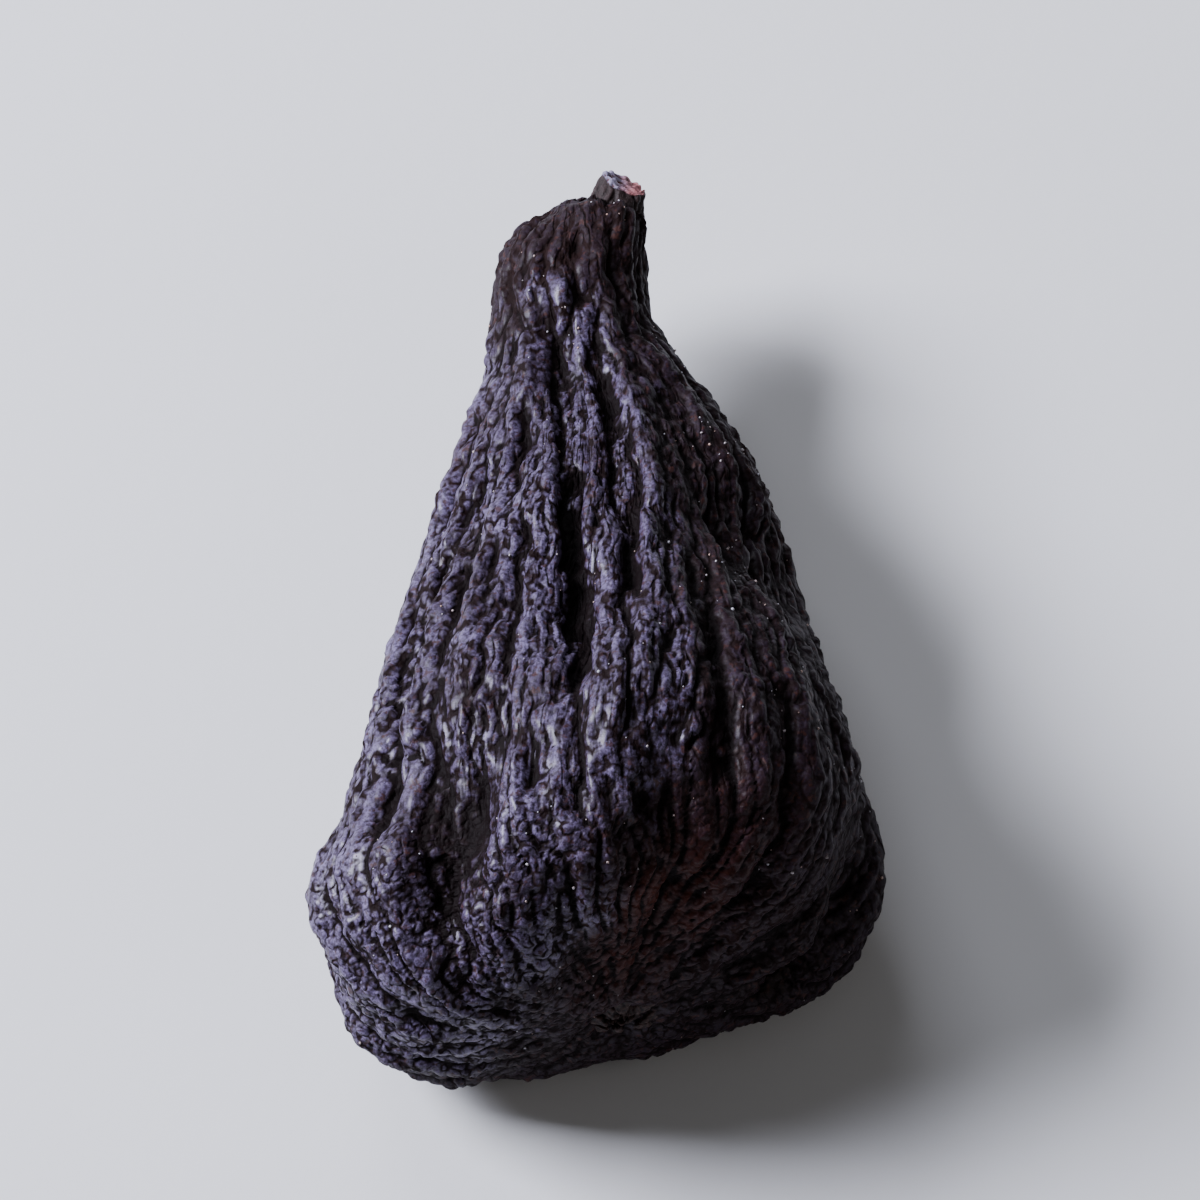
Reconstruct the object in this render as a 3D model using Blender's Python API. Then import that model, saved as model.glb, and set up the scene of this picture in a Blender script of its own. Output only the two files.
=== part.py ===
"""A dried black fig, lying on its side with its neck and cut stalk pointing along +Y.

Units are metres, +Z is up and the fig rests on z = 0, centred on the origin. The fruit grew as one
piece, so its neck, wrinkles, folds, eye and the few seeds that have come through its skin are all in
one solid. The cut stalk is a second solid, which sits in a socket in the end of the neck.
"""

import math
from dataclasses import dataclass

import bmesh
import bpy
from mathutils import Matrix, Vector, noise
from mathutils.bvhtree import BVHTree

MM = 0.001

# Driving dimensions, in millimetres. The height is that before the fruit's weight presses it flat.
LENGTH = 48.0
WIDTH = 28.0
HEIGHT = 21.0
PRESSED = 0.45
STALK_RADIUS = 1.52

# Mesh of the fruit: vertices round it, and rows from its eye to the middle of its socket
AROUND = 106
ROWS = 52

# Fullness of a cross-section above and below its widest line: 2 is an ellipse, more is squarer
TOP_FULLNESS = 2.15
BOTTOM_FULLNESS = 2.7
WIDEST_SHARE = 0.44

# The eye's end faces a little to the right: a point's share of y added for each share of x
EYE_END_SKEW = 0.15
SKEW_FADE_FROM = -0.36
SKEW_FADE_TO = 0.10


@dataclass(frozen=True)
class Ring:
    """One cross-section: y as a share of the length, its sides of the width, its ends of the height."""

    y: float
    left: float
    right: float
    bottom: float
    top: float


# From the eye, over the wide base and the belly, to the neck, its sloping shoulder and the socket
RINGS = (
    Ring(-0.446, 0.025, 0.025, 0.335, 0.335),
    Ring(-0.452, -0.135, 0.170, 0.150, 0.520),
    Ring(-0.434, -0.292, 0.316, 0.060, 0.720),
    Ring(-0.385, -0.412, 0.420, 0.010, 0.890),
    Ring(-0.302, -0.470, 0.470, 0.000, 0.980),
    Ring(-0.198, -0.442, 0.440, 0.000, 0.965),
    Ring(-0.073, -0.380, 0.392, 0.010, 0.870),
    Ring(0.052, -0.316, 0.340, 0.050, 0.760),
    Ring(0.167, -0.257, 0.268, 0.130, 0.665),
    Ring(0.260, -0.214, 0.166, 0.200, 0.605),
    Ring(0.333, -0.188, 0.098, 0.245, 0.585),
    Ring(0.385, -0.180, 0.084, 0.265, 0.578),
    Ring(0.420, -0.154, 0.085, 0.285, 0.572),
    Ring(0.441, -0.104, 0.088, 0.318, 0.565),
    Ring(0.452, -0.055, 0.090, 0.369, 0.545),
    Ring(0.443, -0.053, 0.083, 0.367, 0.529),
    Ring(0.419, -0.065, 0.071, 0.332, 0.497),
    Ring(0.411, 0.000, 0.000, 0.405, 0.405),
)
# The socket starts at this ring, its edge is rounded over the rings before it, and its rows lie closer
SOCKET_FIRST_RING = 14
SOCKET_ROUNDED_FROM = 11
SOCKET_PLAIN_FROM = 12.8
SOCKET_ROW_WEIGHT = 2.2
# Steps between two rings, and the angles round them, by which the rows are spaced
STEPS_PER_RING = 40
MEASURED_AT = (0.3, 1.6, 2.9)

# The neck's end faces up and to the right: how far a point there moves along y for its x and its z
NECK_END_TURN = (-0.29, -0.55)
NECK_TURNS_FROM = 0.36
NECK_TURNS_TO = 0.44


@dataclass(frozen=True)
class Swelling:
    """A round or long lump, or a hollow if push is negative, about a point in shares of the fruit."""

    at: tuple[float, float, float]
    reach: tuple[float, float, float]
    push: float


# Reach and push are in millimetres
SWELLINGS = {
    "hollow beside the base": Swelling((-0.24, -0.360, 0.86), (2.1, 4.8, 4.0), -2.0),
    "knob at the left": Swelling((-0.455, -0.345, 0.52), (2.6, 2.9, 2.8), 1.15),
    "rolled rim of the base": Swelling((-0.25, -0.465, 0.56), (4.6, 2.4, 4.2), 0.9),
    "crown beside the hollow": Swelling((0.00, -0.310, 0.97), (3.2, 7.0, 4.0), 0.7),
    "dip of the base": Swelling((0.18, -0.420, 0.66), (4.6, 4.0, 4.4), -1.2),
    "squashed lobe low on the right": Swelling((0.45, -0.33, 0.14), (3.2, 5.0, 3.4), 2.3),
    "flat right flank": Swelling((0.36, -0.02, 0.62), (3.2, 6.5, 3.6), -0.6),
    "shoulder of the neck": Swelling((-0.16, 0.395, 0.50), (2.0, 2.6, 2.6), 0.3),
    "hollow low on the left": Swelling((-0.40, -0.09, 0.30), (3.0, 6.5, 2.6), -0.9),
    "swollen left flank": Swelling((-0.33, 0.06, 0.24), (3.2, 5.0, 2.4), 0.5),
}


@dataclass(frozen=True)
class Crease:
    """A valley pressed along a line through points in shares; width and depth in millimetres."""

    width: float
    depth: float
    points: tuple[tuple[float, float, float], ...]


# The points lie near the skin, and are brought onto it
CREASES = {
    "fold above the lobe": Crease(
        0.95, 1.6, ((0.47, -0.14, 0.42), (0.47, -0.25, 0.37), (0.43, -0.33, 0.34), (0.34, -0.40, 0.28))
    ),
    "valley down the crown": Crease(
        0.75, 1.0, ((-0.07, 0.27, 0.60), (-0.06, 0.17, 0.67), (-0.04, -0.12, 0.83), (-0.02, -0.33, 0.96))
    ),
    "valley right of the crown": Crease(
        0.7, 0.8, ((0.00, 0.26, 0.61), (0.02, 0.11, 0.69), (0.05, -0.02, 0.77), (0.04, -0.13, 0.83))
    ),
    "valley on the right shoulder": Crease(
        0.8, 0.8, ((0.12, 0.03, 0.72), (0.16, -0.11, 0.79), (0.18, -0.21, 0.84), (0.19, -0.29, 0.86))
    ),
    "valley on the left shoulder": Crease(
        0.8, 0.9, ((-0.22, 0.10, 0.62), (-0.30, -0.03, 0.64), (-0.34, -0.17, 0.69), (-0.36, -0.30, 0.71))
    ),
    "floor of the hollow": Crease(
        1.2, 0.8, ((-0.19, -0.24, 0.90), (-0.23, -0.34, 0.86), (-0.26, -0.41, 0.72))
    ),
    "fold of the left flank": Crease(
        0.9, 1.0, ((-0.27, 0.10, 0.36), (-0.37, -0.06, 0.40), (-0.45, -0.20, 0.40), (-0.47, -0.29, 0.34))
    ),
    "fold low on the right": Crease(0.8, 0.9, ((0.31, 0.06, 0.34), (0.40, -0.07, 0.30), (0.44, -0.17, 0.24))),
}
STEPS_PER_POINT = 6

# Long wrinkles: how many go round, how long each is, how far it wanders, and how high it stands
WRINKLES_AROUND = 23
WRINKLE_LENGTH = 21.0
WRINKLE_WANDER = 0.45
WRINKLE_HEIGHT = 1.15
# Side wrinkles between them: how much finer and how much lower they are
SIDE_WRINKLE_FINER = 1.7
SIDE_WRINKLE_SHARE = 0.35
# How flat the crests are, and the part of the height that lies under the smooth skin
WRINKLE_FLATNESS = 2.4
WRINKLE_LEVEL = 0.50
# The radius of the fruit at which they are full grown, and how fast they grow up to it
WRINKLE_FULL_RADIUS = 10.0
WRINKLE_GROWTH = 0.8
# They die away towards the eye, between these distances from its middle
EYE_SMOOTH_FROM = 0.5
EYE_SMOOTH_TO = 5.0
# Broad dents where the drying flesh has drawn in
DENT_SIZE = 8.5
DENT_DEPTH = 1.85
# The underside, up to this share of the height, has lower wrinkles
UNDERSIDE_WRINKLES = 0.45
UNDERSIDE_TOP = 0.35

# The eye: a puckered ring of small scales round a pit, in millimetres
EYE_SCALES = 7
EYE_RADIUS = 2.1
EYE_RIM_WIDTH = 0.9
EYE_RIM_HEIGHT = 0.6
EYE_NOTCH = 0.3
EYE_PIT_DEPTH = 0.9
EYE_PIT_RADIUS = 1.15

# Seeds that have come through the skin: where, in shares, and their size in millimetres
SEEDS = (
    (-0.490, -0.375, 0.42),
    (0.420, -0.070, 0.18),
    (-0.340, 0.030, 0.22),
    (-0.400, -0.200, 0.12),
)
SEED_LENGTH = 1.5
SEED_WIDTH = 1.15
SEED_SUNK = 0.25

# The stalk runs from near the socket's floor to its broken end, along these points in shares
STALK_LINE = (
    (0.003, 0.4185, 0.414),
    (0.016, 0.4440, 0.445),
    (0.030, 0.4670, 0.474),
    (0.046, 0.4860, 0.498),
)
# Its outline, from the middle of one end to that of the other: shares of its length and its radius
STALK_OUTLINE = (
    (0.00, 0.00),
    (0.00, 0.84),
    (0.06, 1.00),
    (0.42, 1.00),
    (0.70, 0.88),
    (0.93, 0.78),
    (1.00, 0.68),
    (0.98, 0.42),
    (0.94, 0.00),
)
STALK_RIBS = 6
STALK_RIB_HEIGHT = 0.06
STALK_RIB_TWIST = 2.0
STALK_AROUND = 30
STALK_ROWS = 16
# The broken end slants, so that it faces up and to the right, and its edge is ragged
STALK_END_SLANT = 0.55
STALK_END_TURN = 0.9
STALK_END_RAGGED = 0.14
STALK_END_FROM = 0.55
STALK_END_TO = 0.95

SKIN_COLOUR = (0.016, 0.009, 0.011, 1.0)
SKIN_ROUGHNESS = 0.45
STALK_COLOUR = (0.085, 0.034, 0.024, 1.0)
STALK_ROUGHNESS = 0.7


def placed(share):
    """A point given in shares of the length, width and height, in millimetres."""
    x, y, z = share
    return Vector((x * WIDTH, y * LENGTH, z * HEIGHT))


def smooth_step(value, start, end):
    """0 before start, 1 after end, and a smooth rise between them."""
    share = min(1.0, max(0.0, (value - start) / (end - start)))
    return share * share * (3.0 - 2.0 * share)


def spline(before, start, end, after, share):
    """A Catmull-Rom curve's value between start and end."""
    return 0.5 * (
        2.0 * start
        + (end - before) * share
        + (2.0 * before - 5.0 * start + 4.0 * end - after) * share**2
        + (3.0 * start - before - 3.0 * end + after) * share**3
    )


def past_the_pole(pole, ring):
    """The ring on the other side of a pole, so that a curve through the pole runs level across it."""
    return Ring(ring.y, ring.right, ring.left, ring.top, ring.bottom)


def ring_at(place):
    """The cross-section at a place along RINGS, where whole numbers are the rings themselves."""
    known = (past_the_pole(RINGS[0], RINGS[1]), *RINGS, past_the_pole(RINGS[-1], RINGS[-2]))
    first = min(int(place), len(RINGS) - 2)
    four = known[first : first + 4]
    names = ("y", "left", "right", "bottom", "top")
    return Ring(*(spline(*(getattr(ring, name) for ring in four), place - first) for name in names))


def rounded(cosine, power):
    """A cosine or sine raised to a power with its sign kept, which makes an ellipse fuller."""
    return math.copysign(abs(cosine) ** power, cosine)


def smooth_skin(place, angle):
    """A point of the fruit before its wrinkles. Angle 0 is its right side, and a quarter turn its top."""
    ring = ring_at(place)
    socket = smooth_step(place, SOCKET_ROUNDED_FROM, SOCKET_FIRST_RING)
    middle = placed((0.5 * (ring.left + ring.right), ring.y, 0.5 * (ring.bottom + ring.top)))
    widest = ring.bottom + WIDEST_SHARE * (ring.top - ring.bottom)
    widest += (middle.z / HEIGHT - widest) * socket
    side, up = math.cos(angle), math.sin(angle)
    power = 2.0 / (TOP_FULLNESS if up > 0.0 else BOTTOM_FULLNESS)
    power += (1.0 - power) * socket
    x = middle.x / WIDTH + 0.5 * (ring.right - ring.left) * rounded(side, power)
    reach = ring.top - widest if up > 0.0 else widest - ring.bottom
    z = widest + reach * rounded(up, power)
    skew = EYE_END_SKEW * (1.0 - smooth_step(ring.y, SKEW_FADE_FROM, SKEW_FADE_TO))
    point = placed((x, ring.y + skew * x, z))
    turned = max(smooth_step(ring.y, NECK_TURNS_FROM, NECK_TURNS_TO), socket)
    point.y += turned * NECK_END_TURN[0] * (point.x - middle.x)
    point.y += turned * NECK_END_TURN[1] * (point.z - middle.z)
    return point


def row_places():
    """Places along RINGS for the mesh's rows, evenly far apart over the skin and closer in the socket."""
    places = [i / STEPS_PER_RING for i in range(STEPS_PER_RING * (len(RINGS) - 1) + 1)]
    travelled = [0.0]
    for before, after in zip(places, places[1:]):
        step = sum((smooth_skin(after, a) - smooth_skin(before, a)).length for a in MEASURED_AT)
        weight = SOCKET_ROW_WEIGHT if after > SOCKET_FIRST_RING else 1.0
        travelled.append(travelled[-1] + step * weight)
    found, at = [], 0
    for row in range(ROWS + 1):
        wanted = travelled[-1] * row / ROWS
        while at < len(places) - 2 and travelled[at + 1] < wanted:
            at += 1
        share = (wanted - travelled[at]) / (travelled[at + 1] - travelled[at])
        found.append(places[at] + share / STEPS_PER_RING)
    return found


def lump(point, middle, swelling):
    """How far a swelling about a middle pushes the skin out at a point."""
    offset = point - middle
    distance = sum((offset[i] / swelling.reach[i]) ** 2 for i in range(3))
    return swelling.push * math.exp(-distance)


def distance_to_line(point, points):
    """How far a point is from a line of straight runs."""
    nearest = math.inf
    for start, end in zip(points, points[1:]):
        run = end - start
        share = min(1.0, max(0.0, (point - start).dot(run) / run.length_squared))
        nearest = min(nearest, (point - start - run * share).length)
    return nearest


def curve_through(points):
    """The points of a smooth curve through a few points in shares."""
    steps = STEPS_PER_POINT
    corners = [placed(p) for p in points]
    corners = [2 * corners[0] - corners[1], *corners, 2 * corners[-1] - corners[-2]]
    found = []
    for i in range(1, len(corners) - 2):
        found += [spline(*corners[i - 1 : i + 3], step / steps) for step in range(steps)]
    return [*found, corners[-2]]


def wrinkle_height(angle, run):
    """Long wrinkles that fan out from both poles, rounded on top and sharp between, about 0."""
    turns = WRINKLES_AROUND / (2.0 * math.pi)
    q = Vector((math.cos(angle) * turns, math.sin(angle) * turns, run / WRINKLE_LENGTH))
    q += WRINKLE_WANDER * Vector(noise.noise_vector(q * 0.7 + Vector((3.1, 0.0, 7.7))))
    finer = q * SIDE_WRINKLE_FINER + Vector((9.0, 4.0, 1.0))
    folds = abs(noise.noise(q)) + SIDE_WRINKLE_SHARE * abs(noise.noise(finer))
    return math.tanh(WRINKLE_FLATNESS * folds) - WRINKLE_LEVEL


def eye_relief(distance, angle):
    """The raised, notched ring of scales round the pit of the eye, at a distance from its middle."""
    notches = 1.0 - EYE_NOTCH + EYE_NOTCH * math.cos(EYE_SCALES * angle)
    rim = EYE_RIM_HEIGHT * notches * math.exp(-(((distance - EYE_RADIUS) / EYE_RIM_WIDTH) ** 2))
    return rim - EYE_PIT_DEPTH * math.exp(-((distance / EYE_PIT_RADIUS) ** 2))


class Relief:
    """Everything that stands out of the smooth skin, or is pressed into it."""

    def __init__(self, smooth):
        """Brings the swellings and the creases onto the smooth skin, given as a BVH tree."""
        self.swellings = [(smooth.find_nearest(placed(s.at))[0], s) for s in SWELLINGS.values()]
        self.creases = []
        for crease in CREASES.values():
            line = [smooth.find_nearest(point)[0] for point in curve_through(crease.points)]
            self.creases.append((line, crease))

    def height(self, point, place, angle):
        """How far the finished skin stands out from the smooth one at a point, in millimetres."""
        ring = ring_at(place)
        radius = 0.25 * ((ring.right - ring.left) * WIDTH + (ring.top - ring.bottom) * HEIGHT)
        grown = max(0.0, min(1.0, radius / WRINKLE_FULL_RADIUS))
        above = smooth_step(point.z, 0.0, UNDERSIDE_TOP * HEIGHT)
        share = UNDERSIDE_WRINKLES + (1.0 - UNDERSIDE_WRINKLES) * above
        run = (point - smooth_skin(0.0, 0.0)).length
        beyond_eye = smooth_step(run, EYE_SMOOTH_FROM, EYE_SMOOTH_TO)
        wrinkles = WRINKLE_HEIGHT * grown**WRINKLE_GROWTH * wrinkle_height(angle, run) * beyond_eye
        dents = DENT_DEPTH * grown * max(0.0, noise.noise(point / DENT_SIZE))
        height = share * (wrinkles - dents)
        height += sum(lump(point, middle, swelling) for middle, swelling in self.swellings)
        for line, crease in self.creases:
            height -= crease.depth * math.exp(-((distance_to_line(point, line) / crease.width) ** 2))
        socket = smooth_step(place, SOCKET_PLAIN_FROM, SOCKET_FIRST_RING)
        return height * (1.0 - socket) + eye_relief(run, angle)


def sphere_of(rows, around):
    """A sphere's mesh, with its first pole at (0, 0, 1), to be drawn out into another closed shape."""
    bm = bmesh.new()
    bmesh.ops.create_uvsphere(bm, u_segments=around, v_segments=rows, radius=1.0)
    return bm


def row_and_angle(vertex, rows):
    """A sphere vertex's row from the first pole, and its angle round."""
    row = round(math.acos(max(-1.0, min(1.0, vertex.co.z))) / math.pi * rows)
    return row, math.atan2(vertex.co.y, vertex.co.x) % (2.0 * math.pi)


def finished(name, bm, material):
    """An object in metres from a mesh in millimetres, with its faces pointing out."""
    bmesh.ops.transform(bm, matrix=Matrix.Scale(MM, 4), verts=bm.verts)
    bmesh.ops.recalc_face_normals(bm, faces=bm.faces)
    mesh = bpy.data.meshes.new(name)
    bm.to_mesh(mesh)
    bm.free()
    mesh.materials.append(material)
    mesh.shade_smooth()
    obj = bpy.data.objects.new(name, mesh)
    bpy.context.scene.collection.objects.link(obj)
    return obj


def seed_shapes(skin):
    """A mesh of all the seeds, each sunk into the skin, a BVH tree, and lying along the fruit."""
    bm = bmesh.new()
    for place in SEEDS:
        point, normal, *_ = skin.find_nearest(placed(place))
        along = Vector((0.0, 1.0, 0.0)).cross(normal).cross(normal).normalized()
        turn = Matrix((along, normal.cross(along), normal)).transposed().to_4x4()
        half = Vector((SEED_LENGTH, SEED_WIDTH, SEED_WIDTH)) / 2.0
        size = Matrix.Diagonal((*half, 1.0))
        middle = Matrix.Translation(point - normal * SEED_SUNK)
        bmesh.ops.create_icosphere(bm, subdivisions=2, radius=1.0, matrix=middle @ turn @ size)
    return bm


def add_seeds(fruit, skin):
    """Joins the seeds to the fruit in one closed solid."""
    seeds = finished("seeds", seed_shapes(skin), fruit.data.materials[0])
    union = fruit.modifiers.new("seeds", "BOOLEAN")
    union.operation = "UNION"
    union.object = seeds
    graph = bpy.context.evaluated_depsgraph_get()
    joined = bpy.data.meshes.new_from_object(fruit.evaluated_get(graph))
    fruit.modifiers.clear()
    fruit.data = joined
    bpy.data.objects.remove(seeds)


def make_fruit(material):
    """The fruit with its wrinkles, folds, eye, seeds and socket."""
    bm = sphere_of(ROWS, AROUND)
    places = row_places()
    where = {}
    for vertex in bm.verts:
        row, angle = row_and_angle(vertex, ROWS)
        where[vertex] = (places[row], angle)
        vertex.co = smooth_skin(places[row], angle)
    bmesh.ops.recalc_face_normals(bm, faces=bm.faces)
    bm.normal_update()
    relief = Relief(BVHTree.FromBMesh(bm))
    heights = {vertex: relief.height(vertex.co, *where[vertex]) for vertex in bm.verts}
    for vertex, height in heights.items():
        vertex.co += vertex.normal * height
        vertex.co.z = max(vertex.co.z, PRESSED)
    skin = BVHTree.FromBMesh(bm)
    fruit = finished("fig_body", bm, material)
    add_seeds(fruit, skin)
    return fruit


def stalk_outline_at(share):
    """The stalk's outline at a share of the way along STALK_OUTLINE: shares of its length and radius."""
    place = share * (len(STALK_OUTLINE) - 1)
    first = min(int(place), len(STALK_OUTLINE) - 2)
    start, end = Vector(STALK_OUTLINE[first]), Vector(STALK_OUTLINE[first + 1])
    return start.lerp(end, place - first)


def stalk_point(share, angle, line):
    """A point of the stalk, in millimetres, at a share of the way along its outline."""
    length, width = stalk_outline_at(share)
    place = length * (len(line) - 1)
    first = min(int(place), len(line) - 2)
    middle = line[first].lerp(line[first + 1], place - first)
    ahead = (line[-1] - line[0]).normalized()
    across = ahead.cross(Vector((0.0, 0.0, 1.0))).normalized()
    up = across.cross(ahead)
    ribs = 1.0 + STALK_RIB_HEIGHT * math.cos(STALK_RIBS * angle + STALK_RIB_TWIST * length)
    outward = across * math.cos(angle) + up * math.sin(angle)
    slant = STALK_END_SLANT * math.cos(angle - STALK_END_TURN)
    slant += STALK_END_RAGGED * math.sin(5.0 * angle) * math.cos(3.0 * angle + 1.0)
    back = slant * width * smooth_step(length, STALK_END_FROM, STALK_END_TO)
    return middle + outward * (STALK_RADIUS * width * ribs) - ahead * back


def make_stalk(material):
    """The cut stalk, sunk in the neck's socket with a gap all round."""
    bm = sphere_of(STALK_ROWS, STALK_AROUND)
    line = curve_through(STALK_LINE)
    for vertex in bm.verts:
        row, angle = row_and_angle(vertex, STALK_ROWS)
        vertex.co = stalk_point(row / STALK_ROWS, angle, line)
    return finished("stem_stub", bm, material)


def make_material(name, colour, roughness):
    """A plain finish."""
    material = bpy.data.materials.new(name)
    material.use_nodes = True
    shader = material.node_tree.nodes["Principled BSDF"]
    shader.inputs["Base Color"].default_value = colour
    shader.inputs["Roughness"].default_value = roughness
    shader.inputs["Metallic"].default_value = 0.0
    return material


def stand_on_origin(objects):
    """Moves the meshes so that the box round them is centred over the origin, with its floor at z = 0."""
    corners = [vertex.co for obj in objects for vertex in obj.data.vertices]
    low = Vector([min(c[i] for c in corners) for i in range(3)])
    high = Vector([max(c[i] for c in corners) for i in range(3)])
    shift = Vector((-(low.x + high.x) / 2.0, -(low.y + high.y) / 2.0, -low.z))
    for obj in objects:
        obj.data.transform(Matrix.Translation(shift))


def main():
    """Clears the scene and makes the fig."""
    for obj in list(bpy.data.objects):
        bpy.data.objects.remove(obj)
    skin = make_material("fig_skin", SKIN_COLOUR, SKIN_ROUGHNESS)
    stalk = make_material("stalk_bark", STALK_COLOUR, STALK_ROUGHNESS)
    stand_on_origin([make_fruit(skin), make_stalk(stalk)])


main()
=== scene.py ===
"""The looks of one dried black fig: its skin, cut stalk, eye, seeds and sugar, and the light on them.

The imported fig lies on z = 0 with its neck along +Y and its right side along +X. Shapes are worked out in
millimetres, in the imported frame's own directions, and turned to metres when a piece is finished.
"""

import logging
import math
import random
from collections.abc import Callable, Iterable, Mapping, Sequence
from dataclasses import dataclass, field
from enum import Enum

import bpy
import numpy as np
from mathutils import Euler, Matrix, Vector, noise
from mathutils.bvhtree import BVHTree


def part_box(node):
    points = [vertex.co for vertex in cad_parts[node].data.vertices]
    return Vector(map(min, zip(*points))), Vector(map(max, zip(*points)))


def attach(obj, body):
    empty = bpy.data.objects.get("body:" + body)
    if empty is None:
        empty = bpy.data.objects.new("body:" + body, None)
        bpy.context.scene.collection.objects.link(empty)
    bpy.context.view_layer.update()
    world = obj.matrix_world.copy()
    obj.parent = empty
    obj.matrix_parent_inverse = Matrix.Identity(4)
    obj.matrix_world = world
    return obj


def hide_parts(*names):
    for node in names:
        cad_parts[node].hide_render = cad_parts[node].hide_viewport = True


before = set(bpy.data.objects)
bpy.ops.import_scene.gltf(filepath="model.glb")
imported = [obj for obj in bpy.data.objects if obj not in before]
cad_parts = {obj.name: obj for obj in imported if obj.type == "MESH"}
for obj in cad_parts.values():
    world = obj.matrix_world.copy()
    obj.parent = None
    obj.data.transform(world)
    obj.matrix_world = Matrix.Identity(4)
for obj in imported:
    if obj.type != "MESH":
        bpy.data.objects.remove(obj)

LOG = logging.getLogger("fig")
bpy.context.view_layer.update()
TO_MM = 1000.0
TO_METRES = 0.001
BODY = "root"
SEED = 7

Colour = tuple[float, float, float, float]
Point = tuple[float, float, float]


def smooth_step(values: np.ndarray, start: float, end: float) -> np.ndarray:
    """Rises smoothly from 0 at start to 1 at end.

    Args:
        values: The numbers to turn into shares.
        start: Where the rise begins.
        end: Where the rise ends.

    Returns:
        A share for each number.
    """
    share = np.clip((values - start) / (end - start), 0.0, 1.0)
    return share * share * (3.0 - 2.0 * share)


def triples(values: bpy.types.bpy_prop_collection, name: str) -> np.ndarray:
    """Reads three numbers of each item of a mesh, such as its vertices' places.

    Args:
        values: The mesh's vertices or normals.
        name: What is read of each.

    Returns:
        A row of three for each item.
    """
    flat = np.empty(len(values) * 3)
    values.foreach_get(name, flat)
    return flat.reshape(-1, 3)


def perlin(points: np.ndarray) -> np.ndarray:
    """Soft noise about 0, for each of many points."""
    return np.array([noise.noise(point) for point in points.tolist()])


def wander(points: np.ndarray) -> np.ndarray:
    """A soft wandering vector for each of many points, the same on every run."""
    return np.stack([perlin(points + offset) for offset in (0.0, 31.7, 58.3)], axis=1)


def cells(points: np.ndarray) -> np.ndarray:
    """How far each point is inside its own cell: 0 on the line between two cells."""
    found = np.array([noise.voronoi(point)[0][:2] for point in points.tolist()])
    return found[:, 1] - found[:, 0]


class Mask(Enum):
    """What a piece keeps at each vertex for its finish."""

    CREST = "crest"
    RUDDY = "ruddy"
    BLOOM = "bloom_and_sheen"
    NECK = "neck"
    BASE = "base"
    WIDE = "wide"
    FLOW = "flow"
    BROKEN = "broken_end"


class Socket:
    """One output of a shader node, with the arithmetic of Math nodes."""

    def __init__(self, shader: "Shader", output: bpy.types.NodeSocket) -> None:
        """Wraps an output of a node of the shader."""
        self.shader = shader
        self.output = output

    def __add__(self, other: "Socket | float") -> "Socket":
        """This value plus another."""
        return self.shader.maths("ADD", self, other)

    def __radd__(self, other: float) -> "Socket":
        """A number plus this value."""
        return self.shader.maths("ADD", other, self)

    def __sub__(self, other: "Socket | float") -> "Socket":
        """This value less another."""
        return self.shader.maths("SUBTRACT", self, other)

    def __rsub__(self, other: float) -> "Socket":
        """A number less this value."""
        return self.shader.maths("SUBTRACT", other, self)

    def __mul__(self, other: "Socket | float") -> "Socket":
        """This value times another."""
        return self.shader.maths("MULTIPLY", self, other)

    def __rmul__(self, other: float) -> "Socket":
        """A number times this value."""
        return self.shader.maths("MULTIPLY", other, self)

    def clamped(self) -> "Socket":
        """This value kept between 0 and 1."""
        return self.shader.node("ShaderNodeClamp", inputs={"Value": self})

    def between(self, start: float, end: float) -> "Socket":
        """A smooth share of the way from start to end.

        Args:
            start: The value that gives 0.
            end: The value that gives 1.

        Returns:
            The share.
        """
        limits = {"Value": self, "From Min": start, "From Max": end}
        return self.shader.node("ShaderNodeMapRange", {"interpolation_type": "SMOOTHSTEP"}, limits, "Result")


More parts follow.
